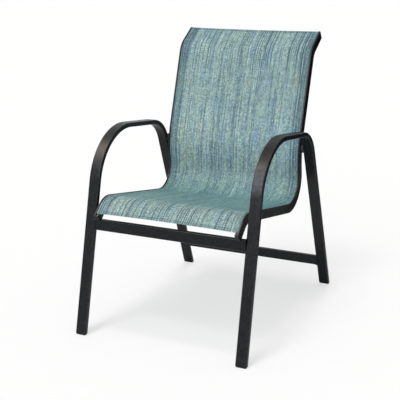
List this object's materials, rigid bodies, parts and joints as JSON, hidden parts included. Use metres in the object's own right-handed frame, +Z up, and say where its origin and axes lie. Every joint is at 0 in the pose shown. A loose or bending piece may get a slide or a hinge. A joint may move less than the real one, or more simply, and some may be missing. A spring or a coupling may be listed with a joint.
{
  "type": "sling patio chair",
  "caption": "Stacking outdoor armchair: woven sling on curved side rails, held between two bent flat-tube side frames joined by cross bars.",
  "frame": {"origin": "centre of the bounding box in plan, at floor level", "axes": "+Z up, the chair faces -Y, +X towards the sitter's left"},
  "size_m": [0.5766, 0.7594, 0.8893],
  "materials": {
    "black_powder_coat": "satin powder coat",
    "woven_sling": "coated yarn, basket weave, lengthwise streaks",
    "black_plastic": "moulded, matte",
    "hem_rod_plastic": "extruded, matte",
    "zinc_steel": "zinc plated"
  },
  "bodies": {
    "root": {"left_side_frame": "black_powder_coat", "left_front_foot_glide": "black_plastic", "left_rear_foot_glide": "black_plastic", "right_side_frame": "black_powder_coat", "right_front_foot_glide": "black_plastic", "right_rear_foot_glide": "black_plastic", "front_cross_bar": "black_powder_coat", "rear_cross_bar": "black_powder_coat", "left_sling_rail": "black_powder_coat", "left_rail_front_cap": "black_plastic", "left_rail_top_cap": "black_plastic", "left_hem_rod": "hem_rod_plastic", "left_rail_spacer": "black_plastic", "left_rail_washer": "zinc_steel", "left_rail_bolt": "zinc_steel", "left_frame_insert": "zinc_steel", "right_sling_rail": "black_powder_coat", "right_rail_front_cap": "black_plastic", "right_rail_top_cap": "black_plastic", "right_hem_rod": "hem_rod_plastic", "right_rail_spacer": "black_plastic", "right_rail_washer": "zinc_steel", "right_rail_bolt": "zinc_steel", "right_frame_insert": "zinc_steel", "seat_spreader_bar": "black_powder_coat", "back_spreader_bar": "black_powder_coat", "sling": "woven_sling"}
  },
  "joints": []
}
